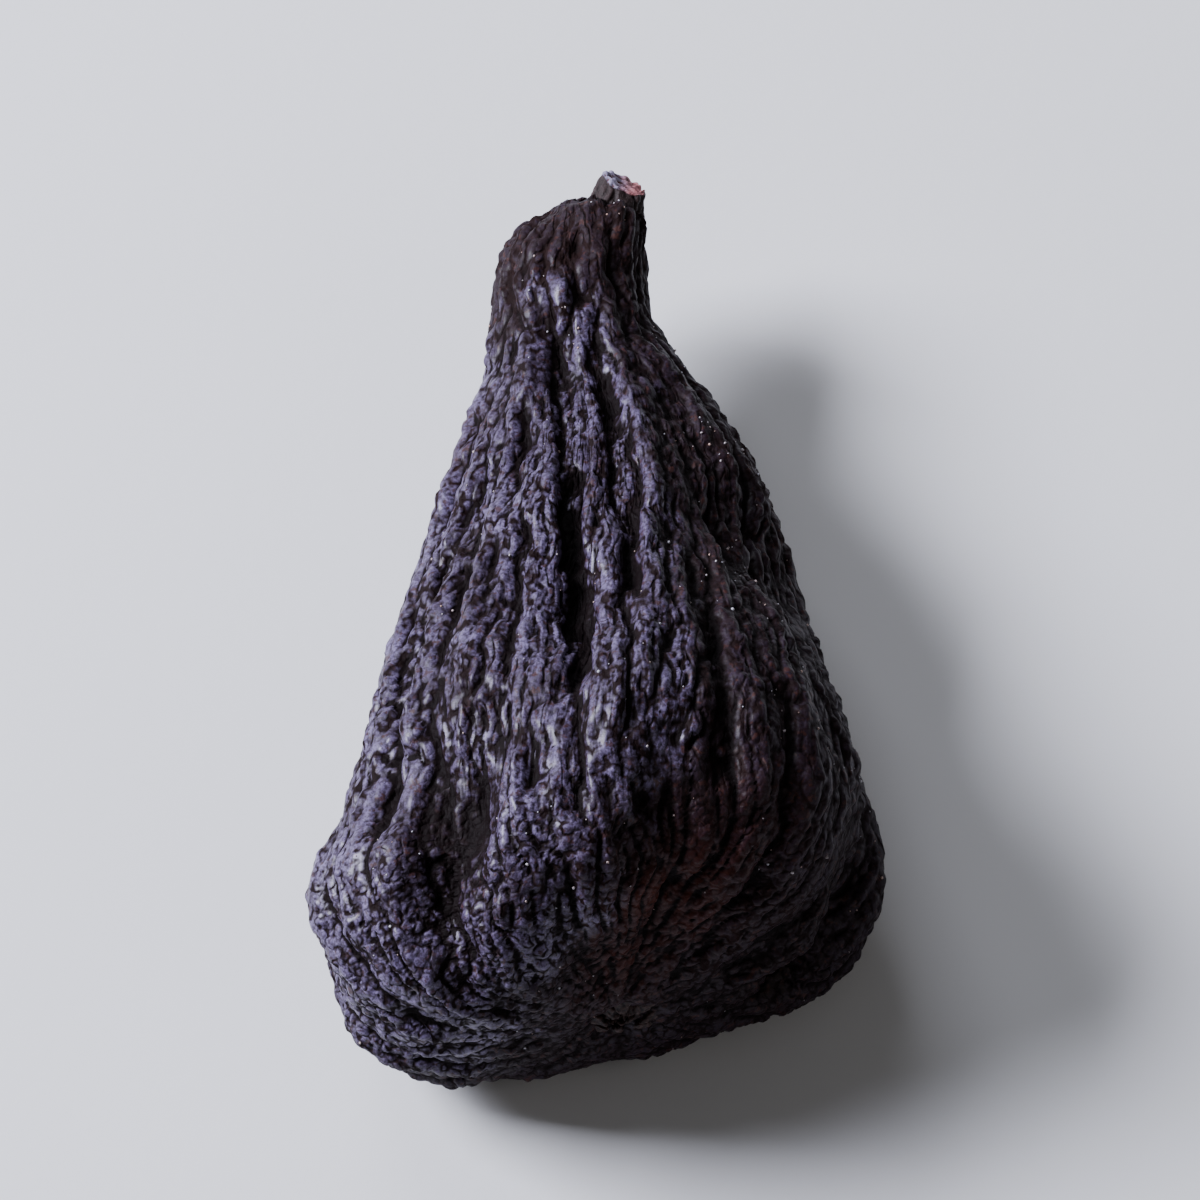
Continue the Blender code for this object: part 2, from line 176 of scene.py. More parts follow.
class Shader:
    """The nodes of one material."""

    def __init__(self, name: str) -> None:
        """Makes a material with a Principled shader and nothing linked to it.

        Args:
            name: The material's name.
        """
        self.material = bpy.data.materials.new(name)
        self.material.use_nodes = True
        self.tree = self.material.node_tree
        self.surface = self.tree.nodes["Principled BSDF"]

    def node(
        self,
        kind: str,
        settings: Mapping[str, object] | None = None,
        inputs: Mapping[str | int, object] | None = None,
        output: str | int = 0,
    ) -> Socket:
        """Adds any node.

        Args:
            kind: The node's type.
            settings: Its own settings.
            inputs: Values or sockets for its inputs, by name or number.
            output: The output to hand back, by name or number.

        Returns:
            The wrapped output.
        """
        made = self.tree.nodes.new(kind)
        for name, value in (settings or {}).items():
            setattr(made, name, value)
        for name, value in (inputs or {}).items():
            if isinstance(value, Socket):
                self.tree.links.new(value.output, made.inputs[name])
            else:
                made.inputs[name].default_value = value
        return Socket(self, made.outputs[output])

    def maths(self, operation: str, first: Socket | float, second: Socket | float) -> Socket:
        """Adds a Math node on two values."""
        return self.node("ShaderNodeMath", {"operation": operation}, {0: first, 1: second})

    def mix(self, share: Socket, first: Socket | Colour, second: Socket | Colour) -> Socket:
        """Adds a Mix node on two colours.

        Args:
            share: How much of the second colour there is.
            first: The colour at share 0.
            second: The colour at share 1.

        Returns:
            The mixed colour.
        """
        inputs = {0: share, 6: first, 7: second}
        return self.node("ShaderNodeMix", {"data_type": "RGBA"}, inputs, 2)

    def here(self) -> Socket:
        """The place on the object, in metres."""
        return self.node("ShaderNodeTexCoord", output="Object")

    def attribute(self, mask: Mask, output: str = "Fac") -> Socket:
        """A number or vector kept at each vertex of the piece."""
        return self.node("ShaderNodeAttribute", {"attribute_name": mask.value}, output=output)

    def grain(self, scale: float, detail: float = 3.0, roughness: float = 0.6) -> Socket:
        """Soft noise over the object.

        Args:
            scale: Spots to the metre.
            detail: How many finer layers it has.
            roughness: How strong the finer layers are.

        Returns:
            The noise, from 0 to 1.
        """
        inputs = {"Vector": self.here(), "Scale": scale, "Detail": detail, "Roughness": roughness}
        return self.node("ShaderNodeTexNoise", inputs=inputs, output="Fac")

    def vector(self, operation: str, *values: "Socket | Point") -> Socket:
        """Adds a Vector Math node."""
        return self.node("ShaderNodeVectorMath", {"operation": operation}, dict(enumerate(values)))

    def pebbles(self, place: Socket, scale: float) -> Socket:
        """Rounded pebbles with sharp cracks between them.

        Args:
            place: Where on the object.
            scale: Pebbles to the unit of place.

        Returns:
            Near 0 in the cracks and 1 on the tops.
        """
        found = self.node("ShaderNodeTexVoronoi", inputs={"Vector": place, "Scale": scale}, output="Distance")
        return (1.05 - found * found * 1.5).clamped()

    def creases(self, place: Socket, size: Point) -> Socket:
        """Flat ridges with narrow grooves between them.

        Args:
            place: Where on the object.
            size: How many ridges there are to the unit of place, along each axis.

        Returns:
            0 in the grooves and 1 on the ridges.
        """
        inputs = {"Vector": self.vector("MULTIPLY", place, size), "Scale": 1.0, "Detail": 1.5}
        noisy = self.node("ShaderNodeTexNoise", inputs=inputs, output="Fac")
        apart = self.node("ShaderNodeMath", {"operation": "ABSOLUTE"}, {0: noisy - 0.5})
        return apart.between(0.0, 0.13)

    def bump(self, height: Socket, distance: float, strength: float, below: Socket | None = None) -> Socket:
        """Adds a Bump node.

        Args:
            height: The relief, from 0 to 1.
            distance: The height of the relief in metres.
            strength: How much of it shows.
            below: A coarser bump that this one lies on.

        Returns:
            The normal.
        """
        inputs: dict[str | int, object] = {"Height": height, "Distance": distance, "Strength": strength}
        if below is not None:
            inputs["Normal"] = below
        return self.node("ShaderNodeBump", inputs=inputs)

    def dress(self, **sockets: object) -> bpy.types.Material:
        """Sets or links the surface's sockets.

        Args:
            **sockets: Values or sockets by the input's name, with _ for a space.

        Returns:
            The finished material.
        """
        for name, value in sockets.items():
            target = self.surface.inputs[name.replace("_", " ")]
            if isinstance(value, Socket):
                self.tree.links.new(value.output, target)
            else:
                target.default_value = value
        return self.material


@dataclass(frozen=True)
class SkinFinish:
    """Black, leathery skin: satin crests with a thin pale bloom_and_sheen, which is part real sugar dust and
    part painted bluish sheen, painted shade in the dark grooves and cracks, and a few ruddy places.

    A grain is how many spots there are to the metre, and heights are in metres.
    """

    groove: Colour = (0.0032, 0.0013, 0.0016, 1.0)
    flesh: Colour = (0.0110, 0.0042, 0.0044, 1.0)
    ruddy: Colour = (0.0460, 0.0115, 0.0075, 1.0)
    # Part real sugar dust, part painted bluish sheen of the cool light on the crest tops.
    bloom_and_sheen: Colour = (0.1240, 0.0990, 0.1860, 1.0)
    brown_neck: Colour = (0.0120, 0.0048, 0.0045, 1.0)
    rust: Colour = (0.0420, 0.0150, 0.0120, 1.0)
    neck_creases: Point = (6.5, 6.5, 0.75)
    belly_creases: Point = (17.0, 17.0, 0.8)
    base_creases: Point = (1500.0, 1500.0, 1500.0)
    pebble_grain: float = 2500.0
    mottle_grain: float = 900.0
    speck_grain: float = 2600.0
    dust_grain: float = 5600.0
    relief_height: float = 0.00015
    dust_height: float = 0.00005
    coat_roughness: float = 0.32
    specular: float = 0.07

    def material(self) -> bpy.types.Material:
        """Builds the skin's material.

        Returns:
            The material.
        """
        shader = Shader("fig_skin_finish")
        crest = shader.attribute(Mask.CREST)
        bloom_and_sheen = shader.attribute(Mask.BLOOM)
        ruddy = shader.attribute(Mask.RUDDY)
        neck = shader.attribute(Mask.NECK)
        mottle = shader.grain(self.mottle_grain, 4.0)
        fine = shader.grain(self.dust_grain, 2.0)
        relief = self.fine_relief(shader)
        top = crest.between(0.26, 0.60) * relief.between(0.20, 0.66)
        # Painted shade: darker towards groove in the grooves and in the cracks between pebbles, lighter
        # towards flesh on the crests.
        colour = shader.mix(crest.between(0.15, 0.6) * (0.35 + 0.65 * relief), self.groove, self.flesh)
        colour = shader.mix((neck * mottle.between(0.3, 0.65) * 0.8).clamped(), colour, self.brown_neck)
        colour = shader.mix((ruddy * crest.between(0.2, 0.75)).clamped(), colour, self.ruddy)
        specks = shader.grain(self.speck_grain, 2.0).between(0.57, 0.66)
        colour = shader.mix(0.7 * specks * top, colour, self.rust)
        patchy = (0.35 + 0.65 * fine.between(0.38, 0.60)) * (0.5 + 0.5 * mottle.between(0.34, 0.60))
        # Part real sugar dust, part painted bluish sheen: pale colour on the crest tops.
        dust_and_sheen = top * bloom_and_sheen * patchy * (1.0 - 0.75 * specks)
        colour = shader.mix(dust_and_sheen.clamped(), colour, self.bloom_and_sheen)
        roughness = (0.64 - 0.18 * top - 0.10 * top * bloom_and_sheen + 0.10 * fine + 0.08 * neck).clamped()
        creased = shader.bump(relief, self.relief_height, 0.9)
        return shader.dress(
            Base_Color=colour,
            Roughness=roughness,
            Normal=shader.bump(fine, self.dust_height, 0.6, creased),
            Coat_Weight=(top * (0.08 + 0.30 * bloom_and_sheen)).clamped(),
            Coat_Roughness=self.coat_roughness,
            Specular_IOR_Level=self.specular,
        )

    def fine_relief(self, shader: Shader) -> Socket:
        """The creases and pebbles too small for the mesh.

        Args:
            shader: The skin's shader.

        Returns:
            0 in the cracks and 1 on the tops.
        """
        flow = shader.attribute(Mask.FLOW, "Vector")
        wide = shader.attribute(Mask.WIDE)
        base = shader.attribute(Mask.BASE)
        in_neck = shader.creases(flow, self.neck_creases) * (1.0 - wide)
        lines = in_neck + shader.creases(flow, self.belly_creases) * wide
        lines = lines * (1.0 - base) + shader.creases(shader.here(), self.base_creases) * base
        return lines * 0.55 + shader.pebbles(shader.here(), self.pebble_grain) * 0.45


@dataclass(frozen=True)
class StalkFinish:
    """Dry purple-brown bark with a broken end, pale blue-white towards -X and pink towards +X."""

    bark: Colour = (0.012, 0.0055, 0.0055, 1.0)
    bark_light: Colour = (0.048, 0.027, 0.028, 1.0)
    pale_blue: Colour = (0.19, 0.17, 0.25, 1.0)
    pink: Colour = (0.34, 0.13, 0.14, 1.0)
    pith: Colour = (0.07, 0.020, 0.018, 1.0)
    pink_from: float = 0.0014
    pink_to: float = 0.0026

    def material(self) -> bpy.types.Material:
        """Builds the stalk's material.

        Returns:
            The material.
        """
        shader = Shader("stalk_finish")
        end = shader.attribute(Mask.BROKEN)
        crest = shader.attribute(Mask.CREST)
        side = shader.node("ShaderNodeSeparateXYZ", inputs={"Vector": shader.here()}, output="X")
        mottle = shader.grain(1500.0, 4.0)
        fine = shader.grain(6500.0, 3.0)
        blend_share = (crest.between(0.45, 0.95) * mottle.between(0.3, 0.7)).clamped()
        bark = shader.mix(blend_share, self.bark, self.bark_light)
        # The broken end goes from pale blue-white towards -X to pink towards +X.
        pinkness = (side + 0.0012 * mottle).between(self.pink_from, self.pink_to)
        flesh = shader.mix(pinkness, self.pale_blue, self.pink)
        flesh = shader.mix(crest.between(0.2, 0.6), self.pith, flesh)
        colour = shader.mix(end.between(0.35, 0.7), bark, flesh)
        return shader.dress(
            Base_Color=colour,
            Roughness=0.55 + 0.2 * fine,
            Normal=shader.bump(fine, 0.00010, 0.7),
            Specular_IOR_Level=0.25,
        )


@dataclass(frozen=True)
class ScaleFinish:
    """Dry, dark red-brown scales with paler edges."""

    dark: Colour = (0.0060, 0.0024, 0.0024, 1.0)
    brown: Colour = (0.0280, 0.0110, 0.0085, 1.0)
    edge: Colour = (0.0900, 0.0620, 0.0600, 1.0)

    def material(self) -> bpy.types.Material:
        """Builds the scales' material.

        Returns:
            The material.
        """
        shader = Shader("eye_scale_finish")
        crest = shader.attribute(Mask.CREST)
        mottle = shader.grain(1800.0, 4.0)
        fine = shader.grain(6500.0, 3.0)
        colour = shader.mix(crest.between(0.25, 0.75), self.dark, self.brown)
        colour = shader.mix(crest.between(0.72, 1.0) * mottle.between(0.4, 0.65), colour, self.edge)
        return shader.dress(
            Base_Color=colour,
            Roughness=0.5 + 0.2 * fine,
            Normal=shader.bump(shader.grain(3200.0, 4.0), 0.00014, 0.9),
            Specular_IOR_Level=0.25,
        )


@dataclass(frozen=True)
class SeedFinish:
    """A hard, golden seed with amber patches and a thin gloss."""

    gold: Colour = (0.270, 0.108, 0.017, 1.0)
    amber: Colour = (0.120, 0.034, 0.006, 1.0)

    def material(self) -> bpy.types.Material:
        """Builds the seeds' material.

        Returns:
            The material.
        """
        shader = Shader("seed_finish")
        patch = shader.grain(1400.0, 2.0)
        return shader.dress(
            Base_Color=shader.mix(patch.between(0.38, 0.62), self.amber, self.gold),
            Roughness=0.30 + 0.15 * patch,
            Coat_Weight=0.4,
            Normal=shader.bump(shader.grain(4500.0), 0.00003, 0.5),
        )


@dataclass(frozen=True)
class SugarFinish:
    """Tiny crystals of dried sugar."""

    sugar: Colour = (0.42, 0.41, 0.46, 1.0)
    stained: Colour = (0.34, 0.22, 0.18, 1.0)

    def material(self) -> bpy.types.Material:
        """Builds the sugar's material.

        Returns:
            The material.
        """
        shader = Shader("sugar_finish")
        patch = shader.grain(700.0, 2.0)
        return shader.dress(
            Base_Color=shader.mix(patch.between(0.4, 0.65), self.sugar, self.stained),
            Roughness=0.25 + 0.2 * patch,
            Normal=shader.bump(shader.grain(9000.0), 0.00002, 0.4),
        )


@dataclass(frozen=True)
class FloorFinish:
    """A plain pale floor."""

    pale: Colour = (0.66, 0.66, 0.67, 1.0)
    paler: Colour = (0.70, 0.70, 0.71, 1.0)

    def material(self) -> bpy.types.Material:
        """Builds the floor's material.

        Returns:
            The material.
        """
        shader = Shader("floor_finish")
        patch = shader.grain(14.0, 4.0)
        return shader.dress(
            Base_Color=shader.mix(patch, self.pale, self.paler),
            Roughness=0.7 + 0.1 * patch,
            Normal=shader.bump(shader.grain(900.0), 0.00005, 0.25),
        )


class Workshop:
    """Steps that every piece goes through."""

    @staticmethod
    def deselect() -> None:
        """Leaves nothing selected."""
        bpy.ops.object.select_all(action="DESELECT")

    @staticmethod
    def choose(piece: bpy.types.Object) -> None:
        """Makes a piece the only one selected, and the active one.

        Args:
            piece: The object.
        """
        Workshop.deselect()
        piece.select_set(True)
        bpy.context.view_layer.objects.active = piece

    @staticmethod
    def copy_of_node(node: str, name: str) -> bpy.types.Object:
        """Copies a CAD node, in millimetres, with its loose triangles joined.

        Args:
            node: The CAD node's name.
            name: The copy's name.

        Returns:
            The copy, with quads where two triangles make one.
        """
        piece = bpy.data.objects.new(name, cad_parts[node].data.copy())
        bpy.context.scene.collection.objects.link(piece)
        piece.data.name = name
        piece.data.materials.clear()
        piece.data.transform(Matrix.Scale(TO_MM, 4))
        Workshop.choose(piece)
        bpy.ops.object.mode_set(mode="EDIT")
        bpy.ops.mesh.select_all(action="SELECT")
        bpy.ops.mesh.remove_doubles(threshold=0.001)
        bpy.ops.mesh.tris_convert_to_quads()
        bpy.ops.object.mode_set(mode="OBJECT")
        return piece

    @staticmethod
    def modify(piece: bpy.types.Object, kind: str, **settings: object) -> None:
        """Adds a modifier and applies it.

        Args:
            piece: The object.
            kind: The modifier's type.
            **settings: The modifier's settings.
        """
        Workshop.choose(piece)
        modifier = piece.modifiers.new(kind.lower(), kind)
        for name, value in settings.items():
            setattr(modifier, name, value)
        bpy.ops.object.modifier_apply(modifier=modifier.name)

    @staticmethod
    def reshape(
        piece: bpy.types.Object,
        wanted: Callable[[Vector], bool],
        scale: Point = (1.0, 1.0, 1.0),
        shift: Point = (0.0, 0.0, 0.0),
    ) -> None:
        """Scales about the origin, and then moves, some vertices of a piece.

        Args:
            piece: The object.
            wanted: Says of a vertex's place whether it is moved.
            scale: The scale along each axis.
            shift: How far along each axis.
        """
        Workshop.choose(piece)
        bpy.ops.object.mode_set(mode="EDIT")
        bpy.ops.mesh.select_mode(type="VERT")
        bpy.ops.mesh.select_all(action="DESELECT")
        bpy.ops.object.mode_set(mode="OBJECT")
        for vertex in piece.data.vertices:
            vertex.select = wanted(vertex.co)
        bpy.ops.object.mode_set(mode="EDIT")
        bpy.ops.transform.resize(value=scale, center_override=(0.0, 0.0, 0.0))
        bpy.ops.transform.translate(value=shift)
        bpy.ops.object.mode_set(mode="OBJECT")

    @staticmethod
    def block(cuts: int) -> bpy.types.Object:
        """Adds a block one unit long, wide and high, with its faces cut into squares.

        Args:
            cuts: How many times each edge is cut.

        Returns:
            The block.
        """
        Workshop.deselect()
        bpy.ops.mesh.primitive_cube_add(size=1.0)
        bpy.ops.object.mode_set(mode="EDIT")
        bpy.ops.mesh.select_all(action="SELECT")
        bpy.ops.mesh.subdivide(number_cuts=cuts)
        bpy.ops.object.mode_set(mode="OBJECT")
        return bpy.context.object

    @staticmethod
    def copies(name: str, shape: bpy.types.Object, places: Sequence[Matrix]) -> bpy.types.Object:
        """Copies a shape to many places, each copy with its own mesh, joins the copies and removes the shape.

        Args:
            name: The joined piece's name.
            shape: The shape, about the origin.
            places: The place, turn and size of each copy.

        Returns:
            The piece, in millimetres.
        """
        Workshop.deselect()
        for place in places:
            copy = bpy.data.objects.new(name, shape.data.copy())
            copy.data.transform(place)
            bpy.context.scene.collection.objects.link(copy)
            copy.select_set(True)
            bpy.context.view_layer.objects.active = copy
        bpy.ops.object.join()
        bpy.data.objects.remove(shape)
        piece = bpy.context.object
        piece.name = piece.data.name = name
        return piece

    @staticmethod
    def finish(piece: bpy.types.Object, material: bpy.types.Material, slot: str) -> None:
        """Turns a piece from millimetres to metres, dresses it and hangs it on the fig.

        Args:
            piece: The object, with its place in its mesh.
            material: Its finish.
            slot: The record's material slot; it is not used.
        """
        piece.data.transform(Matrix.Scale(TO_METRES, 4))
        piece.data.materials.clear()
        piece.data.materials.append(material)
        piece.data.shade_smooth()
        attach(piece, BODY)


class Surface:
    """A mesh's points as numbers."""

    def __init__(self, piece: bpy.types.Object) -> None:
        """Reads the points, normals and edges of a piece.

        Args:
            piece: The object, with its mesh in millimetres.
        """
        self.mesh = piece.data
        self.points = triples(self.mesh.vertices, "co")
        self.normals = triples(self.mesh.vertex_normals, "vector")
        ends = np.empty(len(self.mesh.edges) * 2, np.int32)
        self.mesh.edges.foreach_get("vertices", ends)
        self.ends = ends.reshape(-1, 2)

    def relaxed(self, values: np.ndarray, rounds: int) -> np.ndarray:
        """Each point's values, evened out with its neighbours' a number of times.

        Args:
            values: One row for each point.
            rounds: How many times.

        Returns:
            The evened values.
        """
        first, second = self.ends.T
        count = len(self.points)
        neighbours = np.bincount(first, minlength=count) + np.bincount(second, minlength=count)
        columns = values.reshape(count, -1).copy()
        for _ in range(rounds):
            for column in columns.T:
                total = np.bincount(first, column[second], count) + np.bincount(second, column[first], count)
                column[:] = 0.5 * column + 0.5 * total / np.maximum(neighbours, 1)
        return columns.reshape(values.shape)

    def standing_out(self, rounds: int) -> np.ndarray:
        """How far each point stands out of the surface evened over some rounds, in millimetres."""
        return np.einsum("ij,ij->i", self.points - self.relaxed(self.points, rounds), self.normals)

    def sideways_from(self, line: Sequence[Point], reach: float = 2.5) -> np.ndarray:
        """How far each point is from a line that runs along the surface, measured over the surface.

        Args:
            line: The places that the line passes, in order.
            reach: How far above or below the surface the line may be.

        Returns:
            Distances in millimetres.
        """
        nearest = np.full(len(self.points), np.inf)
        for start, end in zip(np.array(line)[:-1], np.array(line)[1:]):
            run = end - start
            share = np.clip((self.points - start) @ run / (run @ run), 0.0, 1.0)
            apart = self.points - start - share[:, None] * run
            out = np.einsum("ij,ij->i", apart, self.normals)
            flat = np.linalg.norm(apart - out[:, None] * self.normals, axis=1)
            nearest = np.minimum(nearest, np.where(np.abs(out) < reach, flat, np.inf))
        return nearest

    def move(self, heights: np.ndarray) -> None:
        """Moves each point along its normal and reads the normals again."""
        self.place(self.points + self.normals * heights[:, None])

    def place(self, points: np.ndarray) -> None:
        """Puts the points at new places and reads the normals again.

        Args:
            points: The new places, in millimetres.
        """
        self.points = points
        self.mesh.vertices.foreach_set("co", points.astype(np.float32).ravel())
        self.mesh.update()
        self.normals = triples(self.mesh.vertex_normals, "vector")

    def crests(self, rounds: Sequence[int], amounts: Sequence[float]) -> np.ndarray:
        """A share for each point, from low in a groove to high on a crest.

        Args:
            rounds: How far round a point each comparison looks.
            amounts: How much each comparison counts.

        Returns:
            Shares about a half.
        """
        total = np.full(len(self.points), 0.5)
        for count, amount in zip(rounds, amounts):
            out = self.standing_out(count)
            total += amount * out / max(float(out.std()), 1e-6)
        return np.clip(total, 0.0, 1.0)

    def keep(self, mask: Mask, values: np.ndarray) -> None:
        """Keeps a number or a vector at each vertex, for the finish to read.

        Args:
            mask: What the values are.
            values: A number or a row of three for each vertex.
        """
        kind, part = ("FLOAT_VECTOR", "vector") if values.ndim == 2 else ("FLOAT", "value")
        layer = self.mesh.attributes.new(mask.value, kind, "POINT")
        layer.data.foreach_set(part, values.astype(np.float32).ravel())


@dataclass
class FigFlow:
    """The fruit's own directions: how far round it and how far from its eye a point of its skin is.

    Places are in millimetres. The middle line is found from slices across the fruit, and first_slice and
    last_slice are how far the end ones are from the fruit's two ends.
    """

    eye: Point = (1.07, -21.0, 6.6)
    skew: float = 0.257
    skew_from: float = -17.0
    skew_to: float = 5.0
    slices: int = 26
    first_slice: float = 0.6
    last_slice: float = 2.2
    line: tuple[np.ndarray, np.ndarray, np.ndarray] = field(init=False)
    radii: np.ndarray = field(init=False)

    def __post_init__(self) -> None:
        """Finds the middle line and the radius of the fruit along it."""
        _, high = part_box("fig_body")
        points = triples(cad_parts["fig_body"].data.vertices, "co") * TO_MM
        along = self.unskewed(points)
        edges = np.linspace(along.min() + self.first_slice, high.y * TO_MM - self.last_slice, self.slices)
        half = 0.6 * (edges[1] - edges[0])
        rows = [points[np.abs(along - place) < half] for place in edges]
        lows = np.array([row.min(axis=0) for row in rows])
        highs = np.array([row.max(axis=0) for row in rows])
        self.line = (edges, 0.5 * (lows[:, 0] + highs[:, 0]), 0.5 * (lows[:, 2] + highs[:, 2]))
        self.radii = 0.25 * ((highs - lows)[:, 0] + (highs - lows)[:, 2])

    def unskewed(self, points: np.ndarray) -> np.ndarray:
        """Each point's place along the fruit, as if its base faced straight along -Y."""
        fade = 1.0 - smooth_step(points[:, 1], self.skew_from, self.skew_to)
        return points[:, 1] - self.skew * points[:, 0] * fade

    def of(self, points: np.ndarray) -> tuple[np.ndarray, np.ndarray, np.ndarray]:
        """Where points are in the fruit's own directions.

        Args:
            points: The points, in millimetres.

        Returns:
            The angle round the fruit, the distance from its eye and the fruit's radius there.
        """
        along = self.unskewed(points)
        edges, middle_x, middle_z = self.line
        x = points[:, 0] - np.interp(along, edges, middle_x)
        z = points[:, 2] - np.interp(along, edges, middle_z)
        run = np.linalg.norm(points - np.array(self.eye), axis=1)
        return np.arctan2(z, x), run, np.interp(along, edges, self.radii)


class StalkLine:
    """Where the stalk stands in the neck, in millimetres."""

    def __init__(self) -> None:
        """Finds the stalk's foot, direction and length from the CAD node."""
        points = triples(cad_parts["stem_stub"].data.vertices, "co") * TO_MM
        middle = points.mean(axis=0)
        _, _, directions = np.linalg.svd(points - middle, full_matrices=False)
        self.axis = directions[0] * math.copysign(1.0, directions[0][1])
        shares = (points - middle) @ self.axis
        self.foot = middle + self.axis * shares.min()
        self.length = float(shares.max() - shares.min())

    def along(self, points: np.ndarray) -> np.ndarray:
        """How far along the stalk points are: 0 at its foot and 1 at its broken end."""
        return (points - self.foot) @ self.axis / self.length

    def away(self, points: np.ndarray) -> np.ndarray:
        """How far points are from the stalk's middle line, in millimetres."""
        return np.linalg.norm(self.across(points), axis=1)

    def across(self, points: np.ndarray) -> np.ndarray:
        """The vectors from the stalk's middle line to points, square to the line."""
        return points - self.foot - np.outer((points - self.foot) @ self.axis, self.axis)

    def outward(self, points: np.ndarray) -> np.ndarray:
        """The directions from the stalk's middle line to points."""
        flat = self.across(points)
        return flat / np.maximum(np.linalg.norm(flat, axis=1), 1e-6)[:, None]


@dataclass(frozen=True)
class Groove:
    """One long, deep groove of the skin, in millimetres."""

    depth: float
    width: float
    line: tuple[Point, ...]


RIM = (
    (-13.1, -17.7, 12.0),
    (-12.1, -20.9, 11.0),
    (-9.7, -23.2, 10.1),
    (-5.9, -23.6, 8.8),
    (-3.0, -22.9, 11.6),
    (-0.6, -20.9, 14.1),
)
SEED_PLACES = ((-12.55, -18.15, 8.65), (10.83, -3.96, 4.31), (-8.55, 0.95, 4.27), (-9.78, -10.29, 3.28))
MIDDLE_GROOVE = (
    (-1.1, 13.0, 11.4),
    (-0.7, 5.6, 14.0),
    (-1.1, 1.5, 14.9),
    (-0.8, -2.4, 15.5),
    (-0.6, -7.2, 17.6),
    (-1.2, -11.7, 19.2),
)
SECOND_GROOVE = ((0.1, 11.8, 11.7), (1.2, 7.3, 13.4), (1.8, 3.3, 15.0), (1.6, -1.2, 16.5), (2.1, -5.8, 18.4))
LEFT_GROOVE = (
    (-5.2, 11.5, 10.3),
    (-6.3, 7.2, 11.0),
    (-7.5, 3.6, 11.4),
    (-8.6, 0.3, 11.5),
    (-9.9, -6.5, 13.0),
)
LONG_GROOVES = (
    Groove(0.85, 0.48, MIDDLE_GROOVE),
    Groove(0.60, 0.45, SECOND_GROOVE),
    Groove(0.45, 0.40, LEFT_GROOVE),
    Groove(0.38, 0.36, ((-3.1, 10.5, 12.2), (-3.8, 5.6, 13.3), (-4.8, 0.2, 15.3), (-5.6, -5.7, 17.1))),
    Groove(0.55, 0.45, ((4.7, 4.4, 13.6), (6.2, 1.0, 13.3), (7.2, -5.4, 16.9), (8.1, -10.4, 18.3))),
    Groove(0.45, 0.42, ((2.5, 11.9, 11.7), (4.2, 8.2, 12.6), (6.0, 4.9, 12.5))),
    Groove(0.40, 0.36, ((-3.0, -10.5, 19.0), (-3.1, -15.1, 19.5), (-2.6, -18.9, 18.5))),
    Groove(0.40, 0.36, ((0.4, -12.8, 20.3), (0.7, -16.2, 19.6), (1.0, -19.1, 17.8))),
)


@dataclass(frozen=True)
class Patches:
    """Soft patches: their size in millimetres, how strong they are and where their noise starts."""

    size: float
    amount: float
    start: float

    def over(self, points: np.ndarray) -> np.ndarray:
        """How strong the patches are at each of many points, about 0."""
        return self.amount * perlin(points / self.size + self.start)


@dataclass(frozen=True)
class RuddyPlace:
    """One reddish place of the skin: its middle and reach in millimetres, and how strong it is."""

    middle: Point
    reach: float
    amount: float


